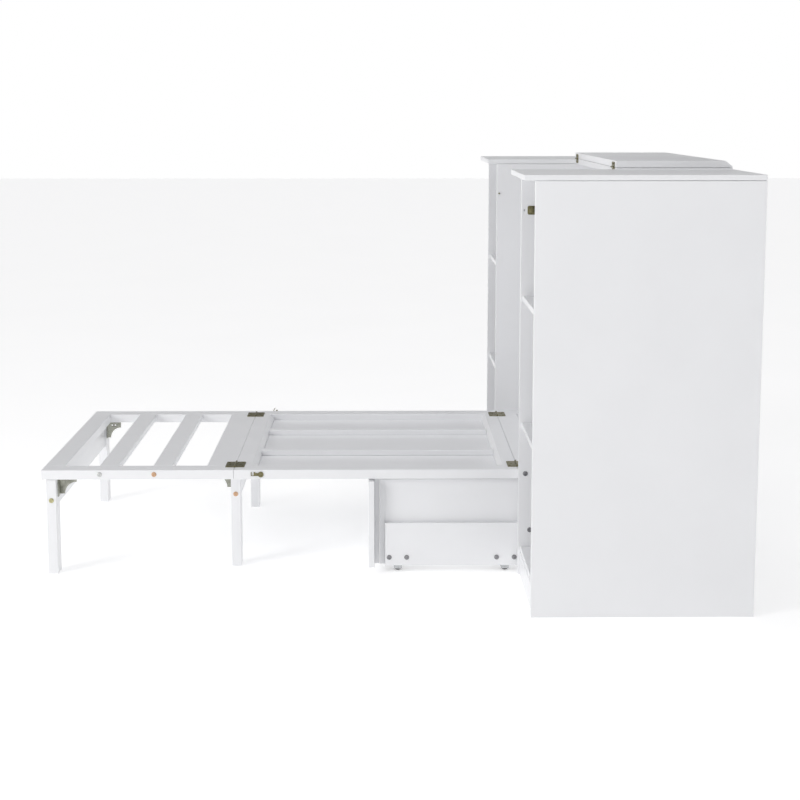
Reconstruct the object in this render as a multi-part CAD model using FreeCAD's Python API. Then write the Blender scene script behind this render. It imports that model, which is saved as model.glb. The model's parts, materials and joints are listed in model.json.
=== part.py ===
import FreeCAD, Part
import os

os.makedirs("parts", exist_ok=True)

# A cabinet bed: a wide cabinet with a shelf unit at each end and a bed frame that folds up
# between them. All sizes are in millimetres. +X runs from the foot of the bed to the back of
# the cabinet, +Z is up, and the origin is on the floor under the middle of the whole object.
# Left (+Y) and right (-Y) are as seen from the foot of the bed, looking at the cabinet.
# It is modelled with the bed down, the drawer out and the lid turned back.

# Cabinet
cabinet_height = 1140.0
cabinet_depth = 580.0
unit_width = 450.0
bay_width = 1010.0
board = 15.0
top_thickness = 14.0
middle_top_thickness = 18.0
back_thickness = 6.0
bottom_shelf_top = 82.0
shelf_pitch = 355.0
shelf_setback = 8.0
toe_setback = 6.0
top_ledge = 7.0
top_gap = 1.0
rear_top_depth = 320.0
stretcher_height = 100.0
stretcher_thickness = 15.0
lower_stretcher_bottom = 150.0
stretcher_gap = 8.0
wall_hole_radius = 3.0
wall_hole_spacing = 800.0

# Lid
lid_length = 320.0
lid_bevel = 21.0
lid_edge = 2.0
lid_lift = 0.3
lid_hinge_rise = 0.5
lid_hinge_inset = 60.0
lid_hinge_length = 50.0
lid_leaf_width = 14.0

# Bed frame
platform_height = 300.0
rail_thickness = 27.0
side_rail_width = 65.0
bed_side_gap = 6.0
fold_gap = 2.0
middle_length = 800.0
foot_length = 541.0
foot_end_rail_width = 57.0
foot_fold_rail_width = 80.0
middle_foot_rail_width = 58.0
middle_cabinet_rail_width = 50.0
fixed_front_rail_width = 65.0
fixed_rear_rail_width = 57.0
fixed_rear_gap = 2.0
slat_width = 55.0
slat_thickness = 18.0
slat_count = 2
panel_thickness = 6.0
panel_setback = 1.0
panel_groove = 6.0
rail_chamfer = 12.0
rib_width = 38.0
rib_spacing = 342.0
rib_drop = 4.0

# Fold hinges
leaf_thickness = 1.6
leaf_width = 27.0
fold_hinge_length = 75.0
fold_hinge_inset = 75.0
hinge_rise = 2.8
knuckle_radius = 2.7
knuckle_gap = 0.2
hinge_pin_radius = 1.3
pin_clearance = 0.05
pin_head = 1.0
pin_head_rim = 0.7
screw_head_radius = 3.0
screw_head_height = 0.6

# Legs
leg_thickness = 28.0
leg_width = 55.0
leg_top_gap = 0.5
foot_leg_inset = 13.0
inner_leg_side_inset = 83.0
inner_leg_overhang = 12.0
leg_board_height = 80.0
leg_board_thickness = 18.0
leg_bolt_drop = 60.0
board_notch_depth = 10.0
board_notch_gap = 1.5

# Leg brackets
plate_thickness = 2.0
pivot_from_leg = 3.0
pivot_drop = 7.0
pivot_pin_radius = 2.0
ear_radius = 4.3
ear_gap = 0.3
bracket_length = 46.0
bracket_height = 52.0
bracket_width = 40.0
bracket_arm = 18.0
cheek_overlap = 2.0
slot_length = 12.0
slot_radius = 2.0
slot_inset = 16.0
slot_drop = 10.0
leg_plate_height = 50.0

# Drawer
drawer_front_thickness = 17.0
drawer_pull_out = 404.0
drawer_front_stop = 1.0
drawer_front_bottom = 19.0
drawer_front_clearance = 5.0
drawer_front_overlay = 6.0
spacer_thickness = 14.0
spacer_side_inset = 6.0
box_front_thickness = 16.0
drawer_box_clearance = 6.0
drawer_box_bottom = 62.0
drawer_side_length = 379.0
drawer_side_thickness = 15.0
drawer_back_thickness = 15.0
drawer_bottom_thickness = 8.0
runner_thickness = 18.0
runner_bottom = 20.0
runner_top = 143.0
guide_thickness = 12.0
guide_height = 40.0
guide_bottom = 110.0
guide_gap = 3.0
guide_inset = 20.0

# Drawer wheels
wheel_radius = 12.0
wheel_width = 20.0
wheel_end_inset = 36.5
wheel_axle_radius = 3.0
wheel_side_gap = 3.0
wheel_bolt_spacing = 50.0
wheel_bolt_height = 43.5
wheel_plate_thickness = 3.0
wheel_plate_length = 66.0
wheel_cheek_length = 24.0
wheel_plate_drop = 10.0
wheel_edge_radius = 2.0

# Bolts and latch
bolt_head_radius = 7.0
bolt_head_height = 2.5
bolt_radius = 3.5
bolt_depth = 30.0
bolt_tail = 3.0
slat_bolt_offset = 18.0
rail_bolt_x = 19.0
rail_bolt_inset = 40.0
guide_bolt_x = 33.0
guide_bolt_inset = 60.0
hook_pivot_x = 725.0
hook_pivot_drop = 13.0
hook_thickness = 2.5
hook_gap = 0.5
hook_eye_radius = 8.0
hook_screw_radius = 2.5
hook_arm_width = 8.0
right_hook_lean = 90.0
left_hook_lean = 50.0
stud_radius = 2.5
stud_from_front = 8.0
stud_play = 0.5
keeper_length = 24.0
keeper_height = 24.0
keeper_thickness = 2.5
keeper_setback = 17.0
keeper_nut_radius = 7.0
keeper_nut_length = 8.0

# Places that follow from the sizes above
bed_reach = fold_gap + middle_length + foot_length
front = (bed_reach - cabinet_depth) / 2
back = front + cabinet_depth
half_width = bay_width / 2 + unit_width
half_bay = bay_width / 2
half_bed = half_bay - bed_side_gap
panel_top = cabinet_height - top_thickness
top_overhang = hinge_rise + rail_thickness - fold_gap / 2
platform_under = platform_height - rail_thickness
fixed_start = front + fold_gap
fixed_end = back - back_thickness - fixed_rear_gap
middle_start = front - middle_length
foot_end = front - bed_reach
foot_start = middle_start - fold_gap
fold_axis_z = platform_height + hinge_rise
cabinet_fold_x = front + fold_gap / 2
foot_fold_x = middle_start - fold_gap / 2
rear_top_start = back - rear_top_depth
lid_axis_x = rear_top_start - hinge_rise
middle_top = panel_top + middle_top_thickness
lid_axis_z = middle_top + lid_hinge_rise
half_top = half_bay + top_ledge - top_gap
hook_x = front - hook_pivot_x
hook_z = platform_height - hook_pivot_drop
Y_AXIS = FreeCAD.Vector(0, 1, 0)


def block(x0, x1, y0, y1, z0, z1):
    """A box from its limits along X, Y and Z."""
    return Part.makeBox(x1 - x0, y1 - y0, z1 - z0, FreeCAD.Vector(x0, y0, z0))


def rod(x, z, y0, y1, radius):
    """A round rod along Y."""
    return Part.makeCylinder(radius, y1 - y0, FreeCAD.Vector(x, y0, z), Y_AXIS)


def plate_xz(points, y0, y1):
    """A flat plate with a straight-sided outline in X and Z, from y0 to y1."""
    corners = [FreeCAD.Vector(x, y0, z) for x, z in points]
    outline = Part.makePolygon(corners + corners[:1])
    return Part.Face(outline).extrude(FreeCAD.Vector(0, y1 - y0, 0))


def mirrored(shape):
    """The same shape on the other side of the object's middle plane."""
    return shape.mirror(FreeCAD.Vector(0, 0, 0), Y_AXIS)


def both(shape):
    """A right-hand shape and its left-hand mate."""
    return [shape, mirrored(shape)]


def less(shape, tools):
    """The shape with each tool cut away."""
    for tool in tools:
        shape = shape.cut(tool)
    return shape


def save(name, *shapes):
    """Write one node, as one solid or as a group of separate solids."""
    solids = [solid for shape in shapes for solid in shape.Solids]
    shape = solids[0] if len(solids) == 1 else Part.makeCompound(solids)
    shape.exportStep("parts/" + name + ".step")


def save_sides(name, right_shape):
    """Write a right-hand piece and its left-hand mate as two nodes."""
    save("right_" + name, right_shape)
    save("left_" + name, mirrored(right_shape))


def side_bolt(x, z, face_y, depth=bolt_depth):
    """A bolt with a domed head on a right-hand face that looks towards -Y."""
    head = rod(x, z, face_y - bolt_head_height, face_y, bolt_head_radius)
    rim = [edge for edge in head.Edges if abs(edge.CenterOfMass.y - head.BoundBox.YMin) < 0.01]
    head = head.makeFillet(bolt_head_height * 0.6, rim)
    return head.fuse(rod(x, z, face_y, face_y + depth, bolt_radius)).removeSplitter()


def shank(x, z, face_y, depth=bolt_depth):
    """The hole that a side bolt fills."""
    return rod(x, z, face_y, face_y + depth, bolt_radius)


def butt_hinge(length, width, y_mid):
    """Two leaves and a pin about the Y axis, open flat, with the screwed face at z = -hinge_rise."""
    knuckles = 5
    pitch = length / knuckles
    y0 = y_mid - length / 2
    seat = -hinge_rise
    leaves = []
    for side in (-1, 1):
        reach = side * width
        plate = block(min(0, reach), max(0, reach), y0, y0 + length, seat, seat + leaf_thickness)
        own = [n for n in range(knuckles) if (n % 2 == 0) == (side < 0)]
        relief = knuckle_radius + knuckle_gap
        for n in range(knuckles):
            if n not in own:
                start = y0 + n * pitch
                plate = plate.cut(block(-relief, relief, start, start + pitch, seat - 1, relief))
        for n in own:
            start = y0 + n * pitch + knuckle_gap / 2
            plate = plate.fuse(rod(0, 0, start, start + pitch - knuckle_gap, knuckle_radius))
        bore = hinge_pin_radius + (pin_clearance if side < 0 else 0)
        plate = plate.cut(rod(0, 0, y0 - 1, y0 + length + 1, bore))
        for n in range(3):
            place = y0 + length * (n + 0.5) / 3
            across = side * width * (0.55 if n % 2 else 0.75)
            head = Part.makeCylinder(
                screw_head_radius, screw_head_height, FreeCAD.Vector(across, place, seat + leaf_thickness)
            )
            plate = plate.fuse(head)
        leaves.append(plate.removeSplitter())
    pin = rod(0, 0, y0, y0 + length, hinge_pin_radius)
    for end in (y0 - pin_head - knuckle_gap, y0 + length + knuckle_gap):
        pin = pin.fuse(rod(0, 0, end, end + pin_head, hinge_pin_radius + pin_head_rim))
    pin = pin.fuse(rod(0, 0, y0 - knuckle_gap, y0 + length + knuckle_gap, hinge_pin_radius))
    return leaves[0], leaves[1], pin.removeSplitter()


def placed(shape, x, z, turn=0):
    """A copy of the shape turned about Y by `turn` degrees and moved to x, z."""
    turned = shape.copy()
    turned.rotate(FreeCAD.Vector(0, 0, 0), Y_AXIS, turn)
    turned.translate(FreeCAD.Vector(x, 0, z))
    return turned


def slat_starts(start, end):
    """The low-X edges of the slats that share the space from start to end evenly."""
    gap = (end - start - slat_count * slat_width) / (slat_count + 1)
    return [start + gap + n * (gap + slat_width) for n in range(slat_count)]


# Shelf units: two panels, three shelves, a toe board and a back each
inner_face = -half_bay
rail_middle = platform_under + rail_thickness / 2
inner_bolts = [
    (front + rail_bolt_x, platform_under + rail_thickness * 0.7),
    (front + cabinet_depth / 2, rail_middle),
    (fixed_end - rail_bolt_inset, rail_middle),
]
guide_middle = guide_bottom + guide_height / 2
guide_bolts = [(front + guide_bolt_x, guide_middle), (fixed_end - guide_bolt_inset, guide_middle)]
shelf_face = inner_face - board
outer_panel = block(front, back, -half_width, -half_width + board, 0, panel_top)
inner_panel = block(front, back, shelf_face, inner_face, 0, panel_top)
stud_x = front + stud_from_front
stud_z = fold_axis_z + (cabinet_fold_x - hook_x)
stud_hole = rod(stud_x, stud_z, shelf_face, inner_face, stud_radius)
inner_panel = less(inner_panel, [shank(x, z, shelf_face) for x, z in inner_bolts + guide_bolts])
inner_panel = inner_panel.cut(stud_hole)
shelf_back = back - back_thickness
shelves = [
    block(front + shelf_setback, shelf_back, -half_width + board, shelf_face, top - board, top)
    for top in (bottom_shelf_top + n * shelf_pitch for n in range(3))
]
toe_front = front + toe_setback
toe_board = block(toe_front, toe_front + board, -half_width + board, shelf_face, 0, bottom_shelf_top - board)
unit_back = block(shelf_back, back, -half_width + board, shelf_face, 0, panel_top)
unit_top = block(front - top_overhang, back, -half_width, -half_bay - top_ledge, panel_top, cabinet_height)
save_sides("outer_panel", outer_panel)
save_sides("inner_panel", inner_panel)
save_sides("shelves", Part.makeCompound(shelves))
save_sides("top_board", unit_top)
save("toe_boards", *both(toe_board))

# Middle of the cabinet: back, stretchers and rear top board
stretcher_bottom = panel_top - stretcher_height
upper_stretcher = block(back - stretcher_thickness, back, -half_bay, half_bay, stretcher_bottom, panel_top)
for hole_y in (-wall_hole_spacing / 2, wall_hole_spacing / 2):
    start = FreeCAD.Vector(back - stretcher_thickness - 1, hole_y, stretcher_bottom + stretcher_height / 2)
    hole = Part.makeCylinder(wall_hole_radius, stretcher_thickness + 2, start, FreeCAD.Vector(1, 0, 0))
    upper_stretcher = upper_stretcher.cut(hole)
lower_x = shelf_back - stretcher_thickness
lower_top = platform_under - stretcher_gap
lower_stretcher = block(lower_x, shelf_back, -half_bay, half_bay, lower_stretcher_bottom, lower_top)
centre_back = block(shelf_back, back, -half_bay, half_bay, 0, stretcher_bottom)
rear_top = block(rear_top_start, back, -half_top, half_top, panel_top, middle_top)
save("back_panels", centre_back, *both(unit_back))
save("stretchers", upper_stretcher, lower_stretcher)
save("rear_top_board", rear_top)

# Lid, turned back on the rear top board, with a bevelled front edge
lid_low = 2 * lid_axis_z - middle_top - lid_lift
lid_high = lid_low + middle_top_thickness
lid_end = rear_top_start + lid_length
lid_outline = [
    (rear_top_start, lid_low),
    (lid_end, lid_low),
    (lid_end, lid_low + lid_edge),
    (lid_end - lid_bevel, lid_high),
    (rear_top_start, lid_high),
]
save("lid_board", plate_xz(lid_outline, -half_top, half_top))
lower_leaf, upper_leaf, lid_pin = (
    placed(piece, lid_axis_x, lid_axis_z, -90)
    for piece in butt_hinge(lid_hinge_length, lid_leaf_width, -half_top + lid_hinge_inset)
)
save("lid_hinge_fixed_leaves", *both(lower_leaf))
save("lid_hinge_leaves", *both(upper_leaf), *both(lid_pin))

# Fixed rear section of the bed frame, bolted between the inner panels
rail_low = platform_under
rail_high = platform_height
fixed_side = block(fixed_start, fixed_end, -half_bay, -half_bay + side_rail_width, rail_low, rail_high)
fixed_side = less(fixed_side, [shank(x, z, shelf_face) for x, z in inner_bolts])
cross = half_bay - side_rail_width
fixed_front = block(fixed_start, fixed_start + fixed_front_rail_width, -cross, cross, rail_low, rail_high)
fixed_rear = block(fixed_end - fixed_rear_rail_width, fixed_end, -cross, cross, rail_low, rail_high)
slat_low = rail_high - slat_thickness
fixed_slats = [
    block(x, x + slat_width, -cross, cross, slat_low, rail_high)
    for x in slat_starts(fixed_start + fixed_front_rail_width, fixed_end - fixed_rear_rail_width)
]
save("fixed_side_rails", *both(fixed_side))
save("fixed_cross_rails", fixed_front, fixed_rear)
save("fixed_slats", *fixed_slats)

# Middle section: a frame round a panel, with two ribs along it
bed_cross = half_bed - side_rail_width
panel_low = rail_low + panel_setback
panel_high = panel_low + panel_thickness
groove_y = bed_cross + panel_groove
foot_rail_edge = middle_start + middle_foot_rail_width
cabinet_rail_edge = front - middle_cabinet_rail_width
panel_x = (foot_rail_edge - panel_groove, cabinet_rail_edge + panel_groove)
panel = block(*panel_x, -groove_y, groove_y, panel_low, panel_high)
middle_side = block(middle_start, front, -half_bed, -bed_cross, rail_low, rail_high)
foot_rail_outline = [
    (middle_start, rail_low),
    (foot_rail_edge, rail_low),
    (foot_rail_edge, rail_high - rail_chamfer),
    (foot_rail_edge - rail_chamfer, rail_high),
    (middle_start, rail_high),
]
cabinet_rail_outline = [
    (front, rail_low),
    (front, rail_high),
    (cabinet_rail_edge + rail_chamfer, rail_high),
    (cabinet_rail_edge, rail_high - rail_chamfer),
    (cabinet_rail_edge, rail_low),
]
rib_top = rail_high - rib_drop
rib_y = (-(rib_spacing + rib_width) / 2, -(rib_spacing - rib_width) / 2)
rib = block(foot_rail_edge, cabinet_rail_edge, *rib_y, panel_high, rib_top)
hook_hole = rod(hook_x, hook_z, -half_bed, -half_bed + bolt_depth, hook_screw_radius)
save_sides("middle_side_rail", less(middle_side, [panel, hook_hole]))
save("middle_foot_side_rail", plate_xz(foot_rail_outline, -bed_cross, bed_cross).cut(panel))
save("middle_cabinet_side_rail", plate_xz(cabinet_rail_outline, -bed_cross, bed_cross).cut(panel))
save("middle_panel", panel)
save("middle_ribs", *both(rib))

# Foot section: four rails and two slats
foot_side = block(foot_end, foot_start, -half_bed, -bed_cross, rail_low, rail_high)
foot_rail = block(foot_end, foot_end + foot_end_rail_width, -bed_cross, bed_cross, rail_low, rail_high)
fold_rail = block(foot_start - foot_fold_rail_width, foot_start, -bed_cross, bed_cross, rail_low, rail_high)
foot_slat_x = slat_starts(foot_end + foot_end_rail_width, foot_start - foot_fold_rail_width)
foot_slats = [block(x, x + slat_width, -bed_cross, bed_cross, slat_low, rail_high) for x in foot_slat_x]
slat_bolt_z = (slat_low + rail_high) / 2 - bolt_radius
slat_bolt_x = [x + slat_width / 2 - slat_bolt_offset for x in foot_slat_x]
foot_side = less(foot_side, [shank(x, slat_bolt_z, -half_bed) for x in slat_bolt_x])
save_sides("foot_side_rail", foot_side)
save("foot_end_rail", foot_rail)
save("foot_fold_rail", fold_rail)
save("foot_slats", *foot_slats)
foot_bolts = [side_bolt(x, slat_bolt_z, -half_bed) for x in slat_bolt_x]
save("foot_rail_bolts", *[solid for bolt in foot_bolts for solid in both(bolt)])

# Fold hinges: one pair where the bed meets the cabinet, one pair where the foot folds
hinge_y = -half_bed + fold_hinge_inset
low_leaf, high_leaf, fold_pin = butt_hinge(fold_hinge_length, leaf_width, hinge_y)
cabinet_side = [placed(piece, cabinet_fold_x, fold_axis_z) for piece in (low_leaf, high_leaf, fold_pin)]
foot_side_hinge = [placed(piece, foot_fold_x, fold_axis_z) for piece in (low_leaf, high_leaf, fold_pin)]
save("cabinet_fold_moving_leaves", *both(cabinet_side[0]))
save("cabinet_fold_fixed_leaves", *both(cabinet_side[1]), *both(cabinet_side[2]))
save("foot_fold_moving_leaves", *both(foot_side_hinge[0]))
save("foot_fold_fixed_leaves", *both(foot_side_hinge[1]), *both(foot_side_hinge[2]))

# Legs: two folding pairs, each joined by a board
leg_top = platform_under - leg_top_gap
leg_bolt_z = platform_under - leg_bolt_drop
board_low = leg_top - leg_board_height
pivot_z = platform_under - pivot_drop
notch_low = pivot_z - bracket_length - board_notch_gap


def leg_pair(leg_x, outer_y):
    """A right-hand leg, the board to the other leg, and the bolt that joins them.

    The board is notched at its upper corners for the brackets it swings past.
    """
    leg = block(leg_x, leg_x + leg_thickness, outer_y, outer_y + leg_width, 0, leg_top)
    mid_x = leg_x + leg_thickness / 2
    low_x = mid_x - leg_board_thickness / 2
    inner_y = outer_y + leg_width
    high_x = low_x + leg_board_thickness
    cross_board = block(low_x, high_x, inner_y, -inner_y, board_low, leg_top)
    notch = block(low_x, high_x, inner_y, inner_y + board_notch_depth, notch_low, leg_top)
    hole = shank(mid_x, leg_bolt_z, outer_y, leg_width + bolt_depth)
    cross_board = less(cross_board, both(hole) + both(notch))
    bolt = side_bolt(mid_x, leg_bolt_z, outer_y, leg_width + bolt_depth)
    return leg.cut(hole), cross_board, bolt


def leg_brackets(face_x, inner_y, inward):
    """The rail half, with its pivot pin, and the leg half of a folding bracket.

    face_x is the leg's face on the folding side, inner_y its inner side, and inward is +1 where
    the leg folds towards +X.
    """
    pivot_x = face_x + inward * pivot_from_leg
    far_x = pivot_x + inward * bracket_length
    cheek_y = inner_y + ear_gap + plate_thickness + ear_gap
    seat_y = inner_y - bracket_width + leg_width * 0.2
    low_x, high_x = sorted((pivot_x, far_x))
    seat_end = cheek_y + plate_thickness
    seat = block(low_x, high_x, seat_y, seat_end, platform_under - plate_thickness, platform_under)
    near_x = pivot_x - inward * cheek_overlap
    cheek_low = platform_under - bracket_height
    cheek_x = sorted((near_x, far_x))
    cut_y = (cheek_y - 1, seat_end + 1)
    cheek = block(*cheek_x, cheek_y, seat_end, cheek_low, platform_under)
    cheek = cheek.cut(rod(far_x, cheek_low, *cut_y, bracket_height - bracket_arm))
    slot_x = pivot_x + inward * slot_inset
    slot_end = slot_x + inward * slot_length
    slot_z = platform_under - slot_drop
    slot = block(*sorted((slot_x, slot_end)), *cut_y, slot_z - slot_radius, slot_z + slot_radius)
    slot = slot.fuse(rod(slot_x, slot_z, *cut_y, slot_radius))
    slot = slot.fuse(rod(slot_end, slot_z, *cut_y, slot_radius))
    rail_half = seat.fuse(cheek).cut(slot)
    rail_half = rail_half.fuse(rod(pivot_x, pivot_z, inner_y + ear_gap / 2, cheek_y + 1, pivot_pin_radius))
    plate_x = sorted((face_x, face_x + inward * plate_thickness))
    plate_top = pivot_z + ear_radius * 0.5
    ear_y = (inner_y + ear_gap, inner_y + ear_gap + plate_thickness)
    leg_plate = block(*plate_x, seat_y, ear_y[1], plate_top - leg_plate_height, plate_top)
    ear = rod(pivot_x, pivot_z, *ear_y, ear_radius)
    web = block(*sorted((face_x, pivot_x)), *ear_y, pivot_z - ear_radius, plate_top)
    bore = rod(pivot_x, pivot_z, inner_y, cheek_y + plate_thickness, pivot_pin_radius + pin_clearance)
    leg_half = leg_plate.fuse(ear).fuse(web).cut(bore)
    return rail_half.removeSplitter(), leg_half.removeSplitter()


foot_leg_x = foot_end + foot_leg_inset
inner_leg_x = foot_fold_x + inner_leg_overhang - leg_thickness
inner_leg_y = -half_bed + inner_leg_side_inset
foot_leg, foot_leg_board, foot_leg_bolt = leg_pair(foot_leg_x, -half_bed)
inner_leg, inner_leg_board, inner_leg_bolt = leg_pair(inner_leg_x, inner_leg_y)
foot_rail_half, foot_leg_half = leg_brackets(foot_leg_x + leg_thickness, -half_bed + leg_width, 1)
inner_rail_half, inner_leg_half = leg_brackets(inner_leg_x, inner_leg_y + leg_width, -1)
save("foot_legs", *both(foot_leg))
save("foot_leg_board", foot_leg_board)
save("foot_leg_fittings", *both(foot_leg_half), *both(foot_leg_bolt))
save("inner_legs", *both(inner_leg))
save("inner_leg_board", inner_leg_board)
save("inner_leg_fittings", *both(inner_leg_half), *both(inner_leg_bolt))
save("leg_rail_brackets", *both(foot_rail_half), *both(inner_rail_half))

# Latch hooks on the middle section, and the studs and nut plates of the inner panels
hook_back = -half_bed - hook_gap
hook_face = hook_back - hook_thickness
hook_reach = stud_x - (cabinet_fold_x + hook_z - fold_axis_z)
catch_z = hook_z + hook_reach
arm_half = hook_arm_width / 2
notch = stud_radius + stud_play
beak_x = hook_x + notch + arm_half
cut_y = (hook_face - 1, hook_back + 1)
eye = rod(hook_x, hook_z, hook_face, hook_back, hook_eye_radius)
arm = block(hook_x - arm_half, hook_x + arm_half, hook_face, hook_back, hook_z, catch_z + notch)
beak_low = catch_z - notch - arm_half
beak = block(hook_x - arm_half, beak_x, hook_face, hook_back, beak_low, catch_z + notch + arm_half / 2)
catch = rod(hook_x, catch_z, *cut_y, notch)
catch_way = block(hook_x, beak_x + 1, *cut_y, catch_z - notch, catch_z + notch)
screw_bore = rod(hook_x, hook_z, hook_face, hook_back, hook_screw_radius + pin_clearance)
raised_hook = less(eye.fuse(arm).fuse(beak), [catch, catch_way, screw_bore]).removeSplitter()
hook_centre = FreeCAD.Vector(hook_x, 0, hook_z)
lowered_hook = raised_hook.copy()
lowered_hook.rotate(hook_centre, Y_AXIS, -right_hook_lean)
leaning_hook = raised_hook.copy()
leaning_hook.rotate(hook_centre, Y_AXIS, -left_hook_lean)
head_y = hook_face - hook_gap
hook_screw = rod(hook_x, hook_z, head_y, -half_bed + bolt_depth, hook_screw_radius)
hook_screw = hook_screw.fuse(rod(hook_x, hook_z, head_y - 1, head_y, hook_screw_radius * 2))
keeper_x = front + keeper_setback
keeper_y = shelf_face - keeper_thickness
keeper_z = (stud_z - keeper_height / 2, stud_z + keeper_height / 2)
keeper = block(keeper_x, keeper_x + keeper_length, keeper_y, shelf_face, *keeper_z)
stud = rod(stud_x, stud_z, shelf_face, hook_back, stud_radius)
nut_x = keeper_x + keeper_length / 2
nut = rod(nut_x, stud_z, shelf_face - keeper_nut_length, shelf_face, keeper_nut_radius)
keeper = keeper.fuse(nut)
save("right_latch_hook", lowered_hook)
save("left_latch_hook", mirrored(leaning_hook))
save("hook_screws", *both(hook_screw))
save("latch_keepers", *both(keeper), *both(stud))

# Drawer on four wheels, pulled out, under the bed with a clearance
drawer_front_top = platform_under - drawer_front_clearance
drawer_box_top = platform_under - drawer_box_clearance
front_inner = front - drawer_front_stop - drawer_pull_out
front_half = half_bay + drawer_front_overlay
runner_outer = half_bay - guide_thickness - guide_gap
side_outer = runner_outer - runner_thickness
side_inner = side_outer - drawer_side_thickness
box_front_x = front_inner + spacer_thickness
side_start = box_front_x + box_front_thickness
side_end = side_start + drawer_side_length
box_low = drawer_box_bottom
box_high = drawer_box_top
front_face = front_inner - drawer_front_thickness
drawer_front = block(
    front_face, front_inner, -front_half, front_half, drawer_front_bottom, drawer_front_top
)
spacer_half = side_outer - spacer_side_inset
spacer = block(front_inner, box_front_x, -spacer_half, spacer_half, runner_bottom, box_high)
box_front = block(box_front_x, side_start, -side_outer, side_outer, runner_bottom, box_high)
drawer_side = block(side_start, side_end, -side_outer, -side_inner, box_low, box_high)
back_start = side_end - drawer_back_thickness
drawer_back = block(back_start, side_end, -side_inner, side_inner, box_low, box_high)
bottom_top = box_low + drawer_bottom_thickness
drawer_bottom = block(side_start, back_start, -side_inner, side_inner, box_low, bottom_top)
wheel_x = [side_start + wheel_end_inset, side_end - wheel_end_inset]
bolt_x = [x + half for x in wheel_x for half in (-wheel_bolt_spacing / 2, wheel_bolt_spacing / 2)]
wheel_bolt_depth = runner_thickness + wheel_plate_thickness + bolt_tail
runner = block(side_start, side_end, -runner_outer, -side_outer, runner_bottom, runner_top)
runner = less(runner, [shank(x, wheel_bolt_height, -runner_outer, wheel_bolt_depth) for x in bolt_x])
save("drawer_front", drawer_front)
save("drawer_spacer", spacer)
save("drawer_box_front", box_front)
save("drawer_sides", *both(drawer_side))
save("drawer_runner_boards", *both(runner))
save("drawer_back", drawer_back)
save("drawer_bottom", drawer_bottom)

# Wheel brackets behind the runner boards, and the wheels
plate_y = -side_outer
plate_end = plate_y + wheel_plate_thickness
wheel_y = plate_end + wheel_side_gap
cheek_start = wheel_y + wheel_width + wheel_side_gap
cheek_end = cheek_start + wheel_plate_thickness
web_low = box_low - wheel_plate_thickness
cheek_bottom = wheel_radius - wheel_axle_radius * 2
plate_low = wheel_bolt_height - wheel_plate_drop
brackets = []
wheels = []
for x in wheel_x:
    half = wheel_plate_length / 2
    narrow = wheel_cheek_length / 2
    outer = block(x - half, x + half, plate_y, plate_end, plate_low, box_low)
    outer = outer.fuse(block(x - narrow, x + narrow, plate_y, plate_end, cheek_bottom, wheel_bolt_height))
    web = block(x - narrow, x + narrow, plate_y, cheek_end, web_low, box_low)
    cheek = block(x - narrow, x + narrow, cheek_start, cheek_end, cheek_bottom, box_low)
    bolt_shanks = [
        shank(x + half_gap, wheel_bolt_height, -runner_outer, wheel_bolt_depth)
        for half_gap in (-wheel_bolt_spacing / 2, wheel_bolt_spacing / 2)
    ]
    axle = rod(x, wheel_radius, plate_y, cheek_end, wheel_axle_radius)
    brackets.append(less(outer.fuse(web).fuse(cheek), bolt_shanks).fuse(axle).removeSplitter())
    tyre = rod(x, wheel_radius, wheel_y, wheel_y + wheel_width, wheel_radius)
    rims = [edge for edge in tyre.Edges if edge.Length > wheel_radius * 6]
    tyre = tyre.makeFillet(wheel_edge_radius, rims)
    axle_hole = rod(x, wheel_radius, wheel_y, wheel_y + wheel_width, wheel_axle_radius + pin_clearance)
    wheels.append(tyre.cut(axle_hole))
save("wheel_brackets", *[solid for bracket in brackets for solid in both(bracket)])
save_sides("front_wheel", wheels[0])
save_sides("rear_wheel", wheels[1])
drawer_bolts = [side_bolt(x, wheel_bolt_height, -runner_outer, wheel_bolt_depth) for x in bolt_x]
save("drawer_bolts", *[solid for bolt in drawer_bolts for solid in both(bolt)])

# Drawer guides on the inner panels, and the cabinet's bolts
guide_x = front + shelf_setback
guide_y = (inner_face, inner_face + guide_thickness)
guide = block(guide_x, fixed_end - guide_inset, *guide_y, guide_bottom, guide_bottom + guide_height)
guide_depth = board + guide_thickness
guide = less(guide, [shank(x, z, shelf_face, guide_depth) for x, z in guide_bolts])
save("drawer_guides", *both(guide))
cabinet_bolts = [side_bolt(x, z, shelf_face) for x, z in inner_bolts]
cabinet_bolts += [side_bolt(x, z, shelf_face, guide_depth) for x, z in guide_bolts]
save("cabinet_bolts", *[solid for bolt in cabinet_bolts for solid in both(bolt)])
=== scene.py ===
import json
import math

import bmesh
import bpy
from mathutils import Matrix, Vector

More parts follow.
